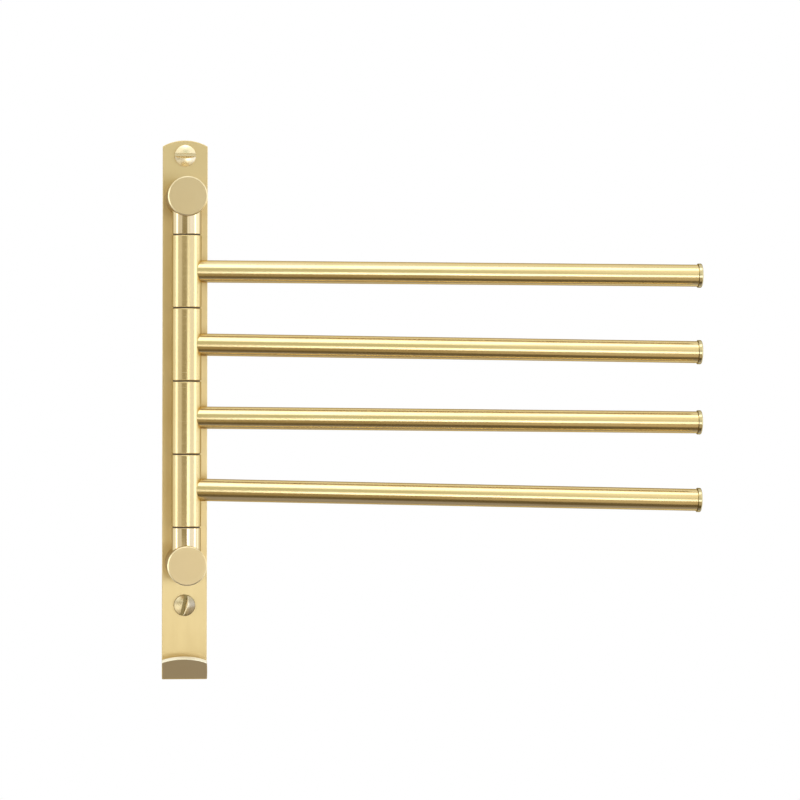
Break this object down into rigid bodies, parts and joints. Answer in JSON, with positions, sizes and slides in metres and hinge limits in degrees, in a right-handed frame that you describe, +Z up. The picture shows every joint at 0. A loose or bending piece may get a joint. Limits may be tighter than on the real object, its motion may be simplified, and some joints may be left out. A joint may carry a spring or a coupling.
{
  "type": "swing arm towel bar",
  "caption": "Wall-hung towel rack whose round arms swing sideways on one upright shaft held by two posts on a flat back plate with a hook at its foot.",
  "frame": {"origin": "on the wall side of the back plate, midway between the two wall screws", "axes": "+Z up; +Y into the wall, so the rack stands out towards -Y; the arms point along +X at rest"},
  "size_m": [0.3795, 0.077, 0.3781],
  "materials": {
    "plate": "brushed satin",
    "wall_screws": "satin",
    "posts": "fine turned satin",
    "collars": "polished",
    "barrels": "brushed",
    "tubes": "brushed lengthwise",
    "caps": "polished",
    "inner_steel": "machined",
    "washers": "matt",
    "sleeves": "matt"
  },
  "bodies": {
    "wall_frame": {"back_plate": "plate", "wall_screws": "wall_screws", "post_screws": "inner_steel", "upper_post": "posts", "lower_post": "posts", "upper_collar": "collars", "lower_collar": "collars", "pivot_shaft": "inner_steel", "washer_1": "washers", "washer_2": "washers", "washer_3": "washers", "washer_4": "washers", "washer_5": "washers"},
    "arm_1": {"arm_1_barrel": "barrels", "arm_1_upper_sleeve": "sleeves", "arm_1_lower_sleeve": "sleeves", "arm_1_tube": "tubes", "arm_1_stud": "inner_steel", "arm_1_cap": "caps"},
    "arm_2": {"arm_2_barrel": "barrels", "arm_2_upper_sleeve": "sleeves", "arm_2_lower_sleeve": "sleeves", "arm_2_tube": "tubes", "arm_2_stud": "inner_steel", "arm_2_cap": "caps"},
    "arm_3": {"arm_3_barrel": "barrels", "arm_3_upper_sleeve": "sleeves", "arm_3_lower_sleeve": "sleeves", "arm_3_tube": "tubes", "arm_3_stud": "inner_steel", "arm_3_cap": "caps"},
    "arm_4": {"arm_4_barrel": "barrels", "arm_4_upper_sleeve": "sleeves", "arm_4_lower_sleeve": "sleeves", "arm_4_tube": "tubes", "arm_4_stud": "inner_steel", "arm_4_cap": "caps"}
  },
  "joints": [
    {"name": "arm_1_swing", "type": "hinge", "parent": "wall_frame", "child": "arm_1", "pos_m": [0, -0.028, 0], "axis": [0, 0, -1], "range_deg": [0, 180]},
    {"name": "arm_2_swing", "type": "hinge", "parent": "wall_frame", "child": "arm_2", "pos_m": [0, -0.028, 0], "axis": [0, 0, -1], "range_deg": [0, 180]},
    {"name": "arm_3_swing", "type": "hinge", "parent": "wall_frame", "child": "arm_3", "pos_m": [0, -0.028, 0], "axis": [0, 0, -1], "range_deg": [0, 180]},
    {"name": "arm_4_swing", "type": "hinge", "parent": "wall_frame", "child": "arm_4", "pos_m": [0, -0.028, 0], "axis": [0, 0, -1], "range_deg": [0, 180]}
  ]
}
